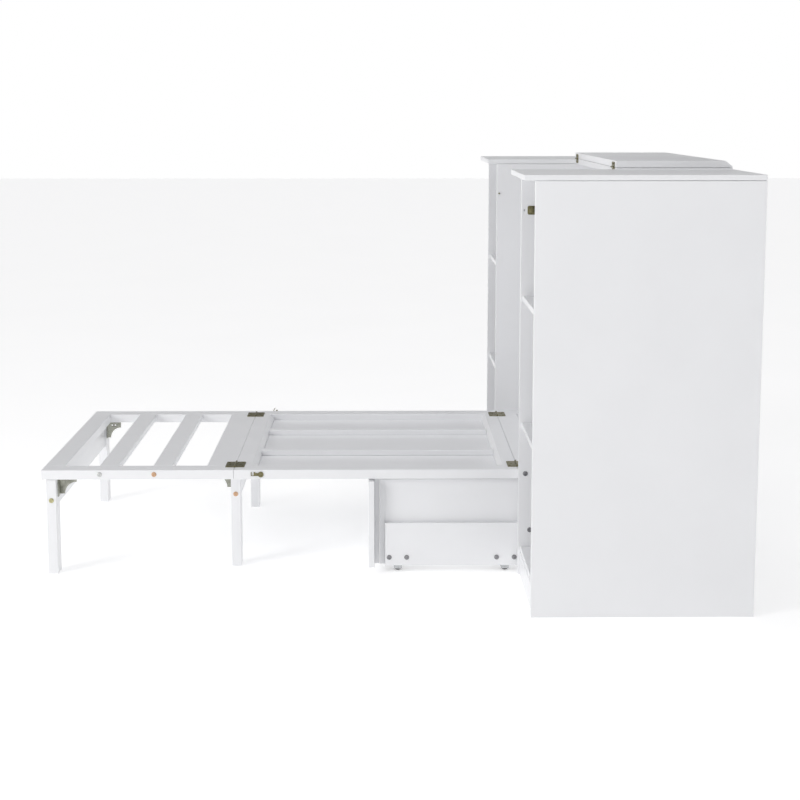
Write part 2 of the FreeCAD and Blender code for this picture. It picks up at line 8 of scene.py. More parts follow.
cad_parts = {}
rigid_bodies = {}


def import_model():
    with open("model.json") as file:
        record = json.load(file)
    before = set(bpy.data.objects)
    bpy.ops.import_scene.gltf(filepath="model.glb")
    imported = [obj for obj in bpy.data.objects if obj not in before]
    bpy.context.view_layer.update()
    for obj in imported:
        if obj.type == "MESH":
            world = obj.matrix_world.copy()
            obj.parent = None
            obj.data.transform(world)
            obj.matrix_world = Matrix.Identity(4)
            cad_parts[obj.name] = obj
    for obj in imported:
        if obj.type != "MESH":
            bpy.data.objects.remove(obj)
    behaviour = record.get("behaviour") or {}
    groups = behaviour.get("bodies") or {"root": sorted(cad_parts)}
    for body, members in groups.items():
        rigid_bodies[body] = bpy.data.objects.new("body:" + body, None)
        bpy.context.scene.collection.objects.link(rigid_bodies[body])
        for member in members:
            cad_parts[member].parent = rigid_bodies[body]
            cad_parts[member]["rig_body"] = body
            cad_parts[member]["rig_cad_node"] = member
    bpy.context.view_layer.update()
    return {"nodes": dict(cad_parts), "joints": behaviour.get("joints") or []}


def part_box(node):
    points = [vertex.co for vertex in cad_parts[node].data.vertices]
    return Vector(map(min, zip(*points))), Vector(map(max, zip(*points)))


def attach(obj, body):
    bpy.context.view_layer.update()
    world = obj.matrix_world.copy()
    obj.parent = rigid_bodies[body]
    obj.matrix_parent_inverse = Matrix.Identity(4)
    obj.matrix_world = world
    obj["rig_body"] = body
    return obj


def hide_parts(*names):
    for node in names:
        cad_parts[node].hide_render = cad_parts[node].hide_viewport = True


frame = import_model()

MM = 0.001

# Edge softness of the boards
SOLID_WOOD_EDGE = 1.5 * MM
PRESSED_BOARD_EDGE = 0.8 * MM
THIN_BOARD_EDGE = 0.4 * MM

# Board details
CHAMFER = 12.0 * MM
LID_EDGE = 2.0 * MM
LID_SLANT = 21.0 * MM
PANEL_TONGUE = 6.0 * MM
TOP_SHADOW_GAP = 1.2 * MM
FOLD_GAP_HALF = 1.0 * MM
FOLD_SEAM_HALF = 0.3 * MM
SPACER_GAP = 1.0 * MM

# Hinges, screws and bolts
PLATE = 1.6 * MM
HINGE_RISE = 2.8 * MM
KNUCKLE_RADIUS = 2.7 * MM
KNUCKLE_GAP = 0.2 * MM
PIN_RADIUS = 1.3 * MM
SCREW_RADIUS = 3.4 * MM
BOLT_RADIUS = 7.0 * MM
BOLT_RISE = 2.5 * MM
SOCKET_RADIUS = 3.1 * MM
SOCKET_DEPTH = 0.7 * MM

# Leg brackets
PLATE_EDGE = 0.35 * MM
BRACKET_PIVOT_INSET = 2.0 * MM
BRACKET_PIVOT_DROP = 7.0 * MM
SLOT_MIDDLE = 22.0 * MM
SLOT_DROP = 10.0 * MM
RIVET_RADIUS = 3.4 * MM
BUTTON_RADIUS = 3.0 * MM
FOOT_LEGS_BEFORE_X = -0.7
LONGEST_PLATE = 80.0 * MM

# Latch keepers
KEEPER_PLATE = 2.5 * MM
KEEPER_CORNER = 4.0 * MM
KEEPER_NUT_RADIUS = 7.0 * MM
WIDEST_STUD = 10.0 * MM

# Light of the studio
DIM_WALL = (0.12, 0.12, 0.125)
BRIGHT_CEILING = (1.15, 1.15, 1.16)
KEY_POWER = 120

# White paint, where it is clean and where it is dull
PAINT_BRIGHT = (0.90, 0.905, 0.92)
PAINT_DULL = (0.88, 0.885, 0.90)


# ---------------------------------------------------------------- camera, light and floor

def set_camera():
    camera = bpy.data.cameras.new("studio_camera")
    camera.lens = 79.67
    camera.sensor_width = 36
    holder = bpy.data.objects.new("studio_camera", camera)
    bpy.context.scene.collection.objects.link(holder)
    holder.location = (-0.0094, -5.3926, 1.2934)
    holder.rotation_euler = (math.pi / 2 - 0.161, 0, -0.0119)
    bpy.context.scene.camera = holder


def soft_light(name, place, aim, width, height, power, colour):
    lamp = bpy.data.lights.new(name, "AREA")
    lamp.shape = "RECTANGLE"
    lamp.size = width
    lamp.size_y = height
    lamp.energy = power
    lamp.color = colour
    holder = bpy.data.objects.new(name, lamp)
    bpy.context.scene.collection.objects.link(holder)
    holder.location = place
    holder.rotation_euler = (Vector(aim) - Vector(place)).to_track_quat("-Z", "Y").to_euler()


def mixed(nodes, links, manner, second, first=None, factor=None):
    """Blend a colour into first, or into plain white where first is left out."""
    blend = nodes.new("ShaderNodeMix")
    blend.data_type = "RGBA"
    blend.blend_type = manner
    blend.inputs["Factor"].default_value = 1.0
    if factor is not None:
        links.new(factor, blend.inputs["Factor"])
    blend.inputs[6].default_value = (1, 1, 1, 1)
    if first is not None:
        links.new(first, blend.inputs[6])
    links.new(second, blend.inputs[7])
    return blend.outputs[2]


def set_studio():
    """A room white at the horizon, dim above it and bright overhead, darker towards the cabinet
    side, with a broad key light from the foot end."""
    world = bpy.data.worlds.new("studio")
    bpy.context.scene.world = world
    world.use_nodes = True
    nodes, links = world.node_tree.nodes, world.node_tree.links
    coords = nodes.new("ShaderNodeTexCoord")
    split = nodes.new("ShaderNodeSeparateXYZ")
    links.new(coords.outputs["Generated"], split.inputs["Vector"])
    height = split.outputs["Z"]
    upward = tint_between(nodes, links, height, DIM_WALL, BRIGHT_CEILING, (0.55, 0.85))
    towards_cabinet = split.outputs["X"]
    sideways = tint_between(nodes, links, towards_cabinet, (1, 1, 1), (0.4, 0.4, 0.4), (0.3, 0.85))
    room = mixed(nodes, links, "MULTIPLY", sideways, first=upward)
    above_horizon = tint_between(nodes, links, height, (0, 0, 0), (1, 1, 1), (0.09, 0.18))
    backdrop = mixed(nodes, links, "MIX", room, factor=above_horizon)
    links.new(backdrop, nodes["Background"].inputs["Color"])
    nodes["Background"].inputs["Strength"].default_value = 1.0
    soft_light("key_softbox", (-4.6, -4.2, 2.4), (0.2, 0, 0.6), 2.2, 1.8, KEY_POWER,
               (1, 0.995, 0.99))
    bpy.context.scene.view_settings.view_transform = "Standard"
    deselect()
    bpy.ops.mesh.primitive_plane_add(size=60, location=(0, 0, 0))
    floor = bpy.context.object
    floor.name = "studio_floor"
    floor.data.materials.append(floor_finish())


# ---------------------------------------------------------------- finishes

def new_finish(name):
    finish = bpy.data.materials.new(name)
    finish.use_nodes = True
    nodes = finish.node_tree.nodes
    return finish, nodes, finish.node_tree.links, nodes["Principled BSDF"]


def place_pattern(nodes, links, stretch):
    """Object coordinates, stretched along the grain where stretch is uneven."""
    coords = nodes.new("ShaderNodeTexCoord")
    mapping = nodes.new("ShaderNodeMapping")
    mapping.inputs["Scale"].default_value = stretch
    links.new(coords.outputs["Object"], mapping.inputs["Vector"])
    return mapping.outputs["Vector"]


def speckle(nodes, links, vector, scale, detail=3.0, roughness=0.5):
    noise = nodes.new("ShaderNodeTexNoise")
    noise.inputs["Scale"].default_value = scale
    noise.inputs["Detail"].default_value = detail
    noise.inputs["Roughness"].default_value = roughness
    links.new(vector, noise.inputs["Vector"])
    return noise.outputs["Fac"]


def tint_between(nodes, links, factor, first, second, spread=(0.3, 0.7)):
    ramp = nodes.new("ShaderNodeValToRGB")
    ramp.color_ramp.elements[0].position = spread[0]
    ramp.color_ramp.elements[0].color = (*first, 1)
    ramp.color_ramp.elements[1].position = spread[1]
    ramp.color_ramp.elements[1].color = (*second, 1)
    links.new(factor, ramp.inputs["Fac"])
    return ramp.outputs["Color"]


def number_between(nodes, links, factor, low, high):
    spread = nodes.new("ShaderNodeMapRange")
    spread.inputs["From Min"].default_value = 0.3
    spread.inputs["From Max"].default_value = 0.7
    spread.inputs["To Min"].default_value = low
    spread.inputs["To Max"].default_value = high
    links.new(factor, spread.inputs["Value"])
    return spread.outputs["Result"]


def raise_surface(nodes, links, shader, heights):
    """Bumps from (height, strength, depth) rows, one on top of the other."""
    normal = None
    for height, strength, depth in heights:
        bump = nodes.new("ShaderNodeBump")
        bump.inputs["Strength"].default_value = strength
        bump.inputs["Distance"].default_value = depth
        links.new(height, bump.inputs["Height"])
        if normal is not None:
            links.new(normal, bump.inputs["Normal"])
        normal = bump.outputs["Normal"]
    links.new(normal, shader.inputs["Normal"])


def white_paint(name, grain):
    """Semi-gloss sprayed paint. grain is "x", "y" or "z" on solid wood, where the grain shows
    through a little, and "none" on pressed board."""
    finish, nodes, links, shader = new_finish(name)
    even = place_pattern(nodes, links, (1, 1, 1))
    cloud = speckle(nodes, links, even, 5.5, 2.0)
    tint = tint_between(nodes, links, cloud, PAINT_DULL, PAINT_BRIGHT)
    links.new(tint, shader.inputs["Base Color"])
    sheen = speckle(nodes, links, even, 38, 4.0, 0.6)
    links.new(number_between(nodes, links, sheen, 0.30, 0.42), shader.inputs["Roughness"])
    peel = speckle(nodes, links, even, 420, 2.0)
    heights = [(peel, 0.16, 0.0003)]
    if grain != "none":
        stretch = {"x": (9, 260, 260), "y": (260, 9, 260), "z": (260, 260, 9)}[grain]
        fibre = speckle(nodes, links, place_pattern(nodes, links, stretch), 1.0, 4.0, 0.65)
        heights.append((fibre, 0.14, 0.0004))
    raise_surface(nodes, links, shader, heights)
    shader.inputs["Specular IOR Level"].default_value = 0.45
    shader.inputs["Coat Weight"].default_value = 0.12
    shader.inputs["Coat Roughness"].default_value = 0.22
    return finish


def plated_metal(name, bright, dull, smooth=0.24, worn=0.42):
    """Plated steel with a cloudy passivated tint and fine rub marks."""
    finish, nodes, links, shader = new_finish(name)
    even = place_pattern(nodes, links, (1, 1, 1))
    cloud = speckle(nodes, links, even, 160, 5.0, 0.6)
    links.new(tint_between(nodes, links, cloud, dull, bright), shader.inputs["Base Color"])
    rub = speckle(nodes, links, place_pattern(nodes, links, (300, 2400, 300)), 1.0, 3.0)
    links.new(number_between(nodes, links, rub, smooth, worn), shader.inputs["Roughness"])
    grit = speckle(nodes, links, even, 2600, 2.0)
    raise_surface(nodes, links, shader, [(rub, 0.10, 0.0001), (grit, 0.12, 0.0001)])
    shader.inputs["Metallic"].default_value = 1.0
    return finish


def moulded_plastic(name, bright, dull):
    finish, nodes, links, shader = new_finish(name)
    even = place_pattern(nodes, links, (1, 1, 1))
    cloud = speckle(nodes, links, even, 90, 4.0)
    links.new(tint_between(nodes, links, cloud, dull, bright), shader.inputs["Base Color"])
    links.new(number_between(nodes, links, cloud, 0.45, 0.62), shader.inputs["Roughness"])
    grain = speckle(nodes, links, even, 1900, 3.0)
    raise_surface(nodes, links, shader, [(grain, 0.25, 0.0002)])
    return finish


def floor_finish():
    finish, nodes, links, shader = new_finish("pale_floor")
    even = place_pattern(nodes, links, (1, 1, 1))
    cloud = speckle(nodes, links, even, 1.5, 2.0)
    tint = tint_between(nodes, links, cloud, (0.90, 0.90, 0.90), (0.92, 0.92, 0.92))
    links.new(tint, shader.inputs["Base Color"])
    shader.inputs["Roughness"].default_value = 0.9
    shader.inputs["Specular IOR Level"].default_value = 0.1
    shader.inputs["Emission Color"].default_value = (1, 1, 1, 1)
    shader.inputs["Emission Strength"].default_value = 0.36
    return finish


# ---------------------------------------------------------------- making shapes

def deselect():
    if bpy.context.object and bpy.context.object.mode != "OBJECT":
        bpy.ops.object.mode_set(mode="OBJECT")
    bpy.ops.object.select_all(action="DESELECT")


def take(piece):
    """Make one piece the only one selected."""
    deselect()
    piece.select_set(True)
    bpy.context.view_layer.objects.active = piece
    return piece


def settle(piece):
    """Put the piece's place, turn and size into its mesh."""
    take(piece)
    bpy.ops.object.transform_apply(location=True, rotation=True, scale=True)
    return piece


def pick(piece, mode, wanted):
    """Open the piece for editing with only the wanted corners, edges or faces selected.

    wanted is given the centre of each edge or face, or the corner's place, and its direction.
    """
    take(piece)
    bpy.ops.object.mode_set(mode="EDIT")
    bpy.ops.mesh.select_mode(type=mode)
    bpy.ops.mesh.select_all(action="DESELECT")
    shape = bmesh.from_edit_mesh(piece.data)
    if mode == "FACE":
        for face in shape.faces:
            face.select = wanted(face.calc_center_median(), face.normal)
    elif mode == "EDGE":
        for edge in shape.edges:
            start, end = (corner.co for corner in edge.verts)
            edge.select = wanted((start + end) / 2, (end - start).normalized())
    else:
        for corner in shape.verts:
            corner.select = wanted(corner.co, None)
    shape.select_flush_mode()
    bmesh.update_edit_mesh(piece.data)


def close_edit():
    bpy.ops.object.mode_set(mode="OBJECT")


def block(name, low, high):
    low, high = Vector(low), Vector(high)
    deselect()
    bpy.ops.mesh.primitive_cube_add(size=1, location=(low + high) / 2, scale=high - low)
    piece = bpy.context.object
    piece.name = piece.data.name = name
    return settle(piece)


def ease_all(piece, ease, steps=2):
    pick(piece, "EDGE", lambda middle, along: True)
    bpy.ops.mesh.bevel(offset=ease, offset_type="OFFSET", segments=steps, affect="EDGES")
    close_edit()
    return piece


def board(name, low, high, ease):
    """A board with its edges eased."""
    return ease_all(block(name, low, high), ease)


def rod(name, start, end, radius, sides=32):
    """A round bar between two points."""
    start, end = Vector(start), Vector(end)
    deselect()
    bpy.ops.mesh.primitive_cylinder_add(
        vertices=sides, radius=radius, depth=(end - start).length, location=(start + end) / 2,
        rotation=(end - start).to_track_quat("Z", "Y").to_euler(),
    )
    piece = bpy.context.object
    piece.name = piece.data.name = name
    return settle(piece)


def round_off(piece, width, steps, angle=40):
    """Round the sharp edges."""
    take(piece)
    bpy.ops.object.modifier_add(type="BEVEL")
    softened = piece.modifiers[-1]
    softened.width = width
    softened.segments = steps
    softened.limit_method = "ANGLE"
    softened.angle_limit = math.radians(angle)
    softened.use_clamp_overlap = True
    bpy.ops.object.modifier_apply(modifier=softened.name)
    bpy.ops.object.shade_smooth_by_angle(angle=math.radians(30))
    return piece


def cut_out(piece, cutter):
    """Cut one shape out of another and throw the cutter away."""
    take(piece)
    bpy.ops.object.modifier_add(type="BOOLEAN")
    cut = piece.modifiers[-1]
    cut.operation = "DIFFERENCE"
    cut.solver = "EXACT"
    cut.object = cutter
    bpy.ops.object.modifier_apply(modifier=cut.name)
    bpy.data.objects.remove(cutter)
    return piece


def joined(name, pieces):
    take(pieces[0])
    for piece in pieces[1:]:
        piece.select_set(True)
    if len(pieces) > 1:
        bpy.ops.object.join()
    whole = bpy.context.object
    whole.name = whole.data.name = name
    return whole


def another(piece, name, shift=(0, 0, 0), turn=0.0, axis="Y"):
    """A copy with its own mesh, turned about an axis through the origin and then moved."""
    take(piece)
    bpy.ops.object.duplicate(linked=False)
    copy = bpy.context.object
    copy.name = copy.data.name = name
    copy.matrix_world = Matrix.Translation(Vector(shift)) @ Matrix.Rotation(turn, 4, axis)
    return settle(copy)


def put_away(*patterns):
    for piece in patterns:
        bpy.data.objects.remove(piece)


def lumps(shape):
    """The separate solids of a merged mesh, as lists of corners."""
    left = set(shape.verts)
    found = []
    while left:
        group = [left.pop()]
        for corner in group:
            for edge in corner.link_edges:
                other = edge.other_vert(corner)
                if other in left:
                    left.remove(other)
                    group.append(other)
        found.append(group)
    return found


def span(corners):
    low = Vector(min(corner.co[n] for corner in corners) for n in range(3))
    high = Vector(max(corner.co[n] for corner in corners) for n in range(3))
    return low, high


def solids(node):
    """Lowest and highest corners of each separate solid in a node of the frame."""
    shape = bmesh.new()
    shape.from_mesh(frame["nodes"][node].data)
    bmesh.ops.remove_doubles(shape, verts=shape.verts[:], dist=1e-6)
    found = sorted((span(group) for group in lumps(shape)), key=lambda b: tuple(b[0] + b[1]))
    shape.free()
    return found


def joint_place(name):
    for joint in frame["joints"]:
        if joint["name"] == name:
            return Vector(joint["pos_m"])


def frame_copy(node, name, ease, keep=lambda low, high: True):
    """A merged copy of a node of the frame with eased edges, for shapes that are already right."""
    take(frame["nodes"][node])
    frame["nodes"][node].hide_viewport = False
    bpy.ops.object.duplicate(linked=False)
    copy = bpy.context.object
    copy.name = copy.data.name = name
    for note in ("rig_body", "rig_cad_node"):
        if note in copy:
            del copy[note]
    copy.parent = None
    copy.data.materials.clear()
    bpy.ops.object.mode_set(mode="EDIT")
    bpy.ops.mesh.select_all(action="SELECT")
    bpy.ops.mesh.remove_doubles(threshold=1e-6)
    shape = bmesh.from_edit_mesh(copy.data)
    unwanted = [corner for group in lumps(shape) if not keep(*span(group)) for corner in group]
    bmesh.ops.delete(shape, geom=unwanted, context="VERTS")
    bmesh.update_edit_mesh(copy.data)
    bpy.ops.mesh.select_all(action="SELECT")
    bpy.ops.mesh.dissolve_limited(angle_limit=math.radians(1))
    close_edit()
    return round_off(copy, ease, 2)


def hand_over(piece, body, finish, slot, *nodes):
    """Give a finished piece its finish and the body it rides on, and hide the frame nodes it
    stands for.
    """
    if finish is not None:
        piece.data.materials.clear()
        piece.data.materials.append(finish)
    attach(piece, body)
    if nodes:
        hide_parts(*nodes)
    return piece


# ---------------------------------------------------------------- boards

def meet_at_folds(low, high):
    """Lengthen a board that ends at a fold, so that the painted boards meet with a fine seam."""
    low, high = Vector(low), Vector(high)
    for joint in ("bed_fold", "foot_fold"):
        fold_x = joint_place(joint).x
        if abs(high.x - (fold_x - FOLD_GAP_HALF)) < 0.2 * MM:
            high.x = fold_x - FOLD_SEAM_HALF
        if abs(low.x - (fold_x + FOLD_GAP_HALF)) < 0.2 * MM:
            low.x = fold_x + FOLD_SEAM_HALF
    return low, high


def painted_boards():
    """Every straight board, with its edges eased as the maker's sander leaves them."""
    pressed = PRESSED_BOARD_EDGE
    timber = SOLID_WOOD_EDGE
    plan = [
        ("right_outer_panel", "cabinet", pressed, panel_paint),
        ("left_outer_panel", "cabinet", pressed, panel_paint),
        ("right_inner_panel", "cabinet", pressed, panel_paint),
        ("left_inner_panel", "cabinet", pressed, panel_paint),
        ("right_shelves", "cabinet", pressed, panel_paint),
        ("left_shelves", "cabinet", pressed, panel_paint),
        ("right_top_board", "cabinet", timber, panel_paint),
        ("left_top_board", "cabinet", timber, panel_paint),
        ("toe_boards", "cabinet", pressed, panel_paint),
        ("back_panels", "cabinet", THIN_BOARD_EDGE, panel_paint),
        ("rear_top_board", "cabinet", timber, panel_paint),
        ("fixed_side_rails", "cabinet", timber, paint_along_x),
        ("fixed_cross_rails", "cabinet", timber, paint_along_y),
        ("fixed_slats", "cabinet", timber, paint_along_y),
        ("drawer_guides", "cabinet", timber, paint_along_x),
        ("right_middle_side_rail", "middle_section", timber, paint_along_x),
        ("left_middle_side_rail", "middle_section", timber, paint_along_x),
        ("middle_ribs", "middle_section", timber, paint_along_x),
        ("right_foot_side_rail", "foot_section", timber, paint_along_x),
        ("left_foot_side_rail", "foot_section", timber, paint_along_x),
        ("foot_end_rail", "foot_section", timber, paint_along_y),
        ("foot_fold_rail", "foot_section", timber, paint_along_y),
        ("foot_slats", "foot_section", timber, paint_along_y),
        ("foot_legs", "foot_leg_pair", timber, paint_along_z),
        ("inner_legs", "inner_leg_pair", timber, paint_along_z),
        ("drawer_front", "drawer", timber, panel_paint),
        ("drawer_spacer", "drawer", pressed, panel_paint),
        ("drawer_box_front", "drawer", pressed, panel_paint),
        ("drawer_sides", "drawer", pressed, panel_paint),
        ("drawer_runner_boards", "drawer", pressed, paint_along_x),
        ("drawer_back", "drawer", pressed, panel_paint),
        ("drawer_bottom", "drawer", THIN_BOARD_EDGE, panel_paint),
    ]
    for node, body, ease, paint in plan:
        shadow_gap = Vector((0, 0, TOP_SHADOW_GAP if node.endswith("_panel") else 0))
        made = []
        for low, high in solids(node):
            low, high = meet_at_folds(low, high - shadow_gap)
            if node == "drawer_box_front":
                low.x += SPACER_GAP
            made.append(board(node, low, high, ease))
        hand_over(joined("painted_" + node, made), body, paint, "white_paint", node)


def bevelled_cross_rails():
    """The middle section's cross rails, with a wide bevel on the edge above the panel."""
    for node, inner_is_high in (
        ("middle_foot_side_rail", True),
        ("middle_cabinet_side_rail", False),
    ):
        low, high = meet_at_folds(*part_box(node))
        rail = block(node, low, high)
        inner_x = high.x if inner_is_high else low.x
        pick(rail, "EDGE", lambda middle, along: (
            abs(middle.x - inner_x) < MM and abs(middle.z - high.z) < MM))
        bpy.ops.mesh.bevel(offset=CHAMFER, offset_type="OFFSET", segments=1, affect="EDGES")
        close_edit()
        ease_all(rail, SOLID_WOOD_EDGE * 0.8)
        hand_over(rail, "middle_section", paint_along_y, "white_paint", node)
        rail.name = rail.data.name = "painted_" + node


def recessed_panel():
    """The thin panel of the middle section, let into the rails."""
    low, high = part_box("middle_panel")
    tongue = Vector((PANEL_TONGUE, PANEL_TONGUE, 0))
    panel = board("painted_middle_panel", low + tongue, high - tongue, 0.3 * MM)
    hand_over(panel, "middle_section", panel_paint, "white_paint", "middle_panel")


def turned_back_lid():
    """The lid, with its slanted front edge."""
    low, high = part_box("lid_board")
    lid = block("painted_lid_board", low, high)
    edge_z = low.z + LID_EDGE
    pick(lid, "FACE", lambda middle, out: True)
    bpy.ops.mesh.bisect(plane_co=(0, 0, edge_z), plane_no=(0, 0, 1))
    close_edit()
    pick(lid, "VERT", lambda place, out: place.x > high.x - MM and place.z > high.z - MM)
    bpy.ops.transform.translate(value=(-LID_SLANT, 0, 0))
    close_edit()
    round_off(lid, 0.8 * MM, 2, angle=20)
    hand_over(lid, "lid", panel_paint, "white_paint", "lid_board")


def notched_boards():
    """Boards whose shape is more than a straight block."""
    for node, body in (("foot_leg_board", "foot_leg_pair"), ("inner_leg_board", "inner_leg_pair")):
        cross_board = frame_copy(node, "painted_" + node, 1.2 * MM)
        hand_over(cross_board, body, paint_along_y, "white_paint", node)
    stretchers = frame_copy("stretchers", "painted_stretchers", 0.8 * MM)
    hand_over(stretchers, "cabinet", panel_paint, "white_paint", "stretchers")


# ---------------------------------------------------------------- fittings

def cross_head_pattern():
    """A countersunk screw head with a cross recess, facing +Z with its rim at z = 0."""
    head = rod("cross_head", (0, 0, -0.6 * MM), (0, 0, 0.55 * MM), SCREW_RADIUS, 28)
    pick(head, "FACE", lambda middle, out: out.z > 0.9)
    bpy.ops.mesh.inset(thickness=0.7 * MM)
    bpy.ops.transform.translate(value=(0, 0, 0.25 * MM))
    bpy.ops.mesh.inset(thickness=0.9 * MM)
    bpy.ops.transform.translate(value=(0, 0, 0.1 * MM))
    close_edit()
    for reach in ((1.9, 0.42), (0.42, 1.9)):
        low = Vector((-reach[0] * MM, -reach[1] * MM, 0.1 * MM))
        slot = block("recess", low, Vector((reach[0] * MM, reach[1] * MM, 2 * MM)))
        cut_out(head, slot)
    take(head)
    bpy.ops.object.shade_smooth_by_angle(angle=math.radians(30))
    return head


def socket_bolt_pattern():
    """A domed bolt head with a hexagon socket, facing -Y with its seat at y = 0."""
    head = rod("socket_bolt", (0, 0, 0), (0, -BOLT_RISE, 0), BOLT_RADIUS, 36)
    pick(head, "EDGE", lambda middle, along: abs(middle.y + BOLT_RISE) < 1e-5)
    bpy.ops.mesh.bevel(offset=BOLT_RISE * 0.75, offset_type="OFFSET", segments=4, affect="EDGES")
    close_edit()
    socket = rod("socket", (0, -SOCKET_DEPTH, 0), (0, -2 * BOLT_RISE, 0), SOCKET_RADIUS, 6)
    cut_out(head, socket)
    take(head)
    bpy.ops.object.shade_smooth_by_angle(angle=math.radians(32))
    return head


def bolts_at(name, pattern, places):
    """Copies of the bolt at (x, y, z, side) places; side is -1 where the head looks towards -Y."""
    made = []
    for x, y, z, side in places:
        turn = 0 if side < 0 else math.pi
        made.append(another(pattern, name, (x, y, z), turn, "Z"))
    return joined(name, made)


def bolt_places(node, keep=lambda low, high: True):
    """Where the bolts of a node have their heads, from the ends furthest from the middle plane."""
    places = []
    for low, high in solids(node):
        if not keep(low, high):
            continue
        side = -1 if low.y + high.y < 0 else 1
        seat = (low.y + BOLT_RISE) if side < 0 else (high.y - BOLT_RISE)
        places.append(((low.x + high.x) / 2, seat, (low.z + high.z) / 2, side))
    return places


def is_long(low, high):
    return high.y - low.y > LONGEST_PLATE


def is_short(low, high):
    return high.y - low.y < LONGEST_PLATE


def all_bolts():
    pattern = socket_bolt_pattern()
    rail_bolts = bolt_places("foot_rail_bolts")
    first_x = min(place[0] for place in rail_bolts)
    near_end = [place for place in rail_bolts if place[0] < first_x + 0.01]
    near_fold = [place for place in rail_bolts if place[0] > first_x + 0.01]
    silver = bolts_at("end_slat_bolts", pattern, near_end)
    hand_over(silver, "foot_section", bright_plating, "plated_steel", "foot_rail_bolts")
    copper = bolts_at("second_slat_bolts", pattern, near_fold)
    hand_over(copper, "foot_section", copper_plating, "plated_steel")
    # The leg bolts are the long ones of their nodes
    for node, body, plating, name in (
        ("foot_leg_fittings", "foot_leg_pair", brass_plating, "foot_leg_bolts"),
        ("inner_leg_fittings", "inner_leg_pair", copper_plating, "inner_leg_bolts"),
    ):
        heads = bolts_at(name, pattern, bolt_places(node, is_long))
        hand_over(heads, body, plating, "plated_steel")
    drawer_heads = bolts_at("runner_board_bolts", pattern, bolt_places("drawer_bolts"))
    hand_over(drawer_heads, "drawer", dark_plating, "plated_steel", "drawer_bolts")
    heads = bolts_at("inner_panel_bolts", pattern, bolt_places("cabinet_bolts"))
    hand_over(heads, "cabinet", dark_plating, "plated_steel", "cabinet_bolts")
    put_away(pattern)


def hinge_leaf(name, side, length, width, screw):
    """One leaf of a butt hinge about the Y axis at the origin, with its knuckles and screws."""
    knuckles = 5
    pitch = length / knuckles
    own = [n for n in range(knuckles) if (n % 2 == 0) == (side < 0)]
    inner = side * (KNUCKLE_RADIUS + KNUCKLE_GAP + 0.1 * MM)
    ends = sorted((inner, side * width))
    top = PLATE - HINGE_RISE
    plate = block(name, (ends[0], -length / 2, -HINGE_RISE), (ends[1], length / 2, top))
    pick(plate, "EDGE", lambda middle, along: (
        abs(along.z) > 0.9 and abs(middle.x - side * width) < 1e-4))
    bpy.ops.mesh.bevel(offset=3.5 * MM, offset_type="OFFSET", segments=5, affect="EDGES")
    close_edit()
    parts = [plate]
    for n in own:
        start = -length / 2 + n * pitch + KNUCKLE_GAP / 2
        end = start + pitch - KNUCKLE_GAP
        tab_x = sorted((0.0, inner + side * 0.2 * MM))
        parts.append(block("tab", (tab_x[0], start, -HINGE_RISE), (tab_x[1], end, top)))
        barrel = rod("barrel", (0, start, 0), (0, end, 0), KNUCKLE_RADIUS, 28)
        parts.append(round_off(barrel, 0.25 * MM, 2, angle=60))
    for n in range(3):
        across = side * width * (0.55 if n % 2 else 0.75)
        place = -length / 2 + length * (n + 0.5) / 3
        parts.append(another(screw, "screw", (across, place, top), 0.5 + n * 0.9, "Z"))
    return joined(name, parts)


def hinge_pin(name, length):
    """The pin of a butt hinge, with its two heads."""
    ends = length / 2 + KNUCKLE_GAP
    pin = rod(name, (0, -ends, 0), (0, ends, 0), PIN_RADIUS, 20)
    heads = []
    for side in (-1, 1):
        outer = side * (ends + MM)
        head = rod("head", (0, side * ends, 0), (0, outer, 0), PIN_RADIUS + 0.7 * MM, 24)
        heads.append(round_off(head, 0.4 * MM, 3, angle=60))
    return joined(name, [pin, *heads])


def butt_hinges():
    """Fold hinges on the bed and lid hinges on the rear top board."""
    screw = cross_head_pattern()
    plan = [
        ("cabinet_fold", "bed_fold", "cabinet_fold_moving_leaves", "middle_section",
         "cabinet_fold_fixed_leaves", "cabinet", 0.0),
        ("foot_fold", "foot_fold", "foot_fold_moving_leaves", "foot_section",
         "foot_fold_fixed_leaves", "middle_section", 0.0),
        ("lid", "lid_hinge", "lid_hinge_fixed_leaves", "cabinet",
         "lid_hinge_leaves", "lid", -math.pi / 2),
    ]
    for label, joint, low_node, low_body, high_node, high_body, turn in plan:
        axis = joint_place(joint)
        leaves = solids(low_node)
        length = leaves[0][1].y - leaves[0][0].y
        across = [max(abs(low.x - axis.x), abs(low.z - axis.z)) for low, high in leaves]
        width = max(across)
        low_leaf = hinge_leaf("low_leaf", -1, length, width, screw)
        high_leaf = hinge_leaf("high_leaf", 1, length, width, screw)
        pin = hinge_pin("pin", length)
        lows, highs = [], []
        for low, high in leaves:
            shift = (axis.x, (low.y + high.y) / 2, axis.z)
            lows.append(another(low_leaf, "leaf", shift, turn))
            highs.append(another(high_leaf, "leaf", shift, turn))
            highs.append(another(pin, "pin", shift, turn))
        low_piece = joined(label + "_hinge_leaves_a", lows)
        high_piece = joined(label + "_hinge_leaves_b", highs)
        hand_over(low_piece, low_body, yellow_plating, "yellow_zinc", low_node)
        hand_over(high_piece, high_body, yellow_plating, "yellow_zinc", high_node)
        put_away(low_leaf, high_leaf, pin)
    put_away(screw)


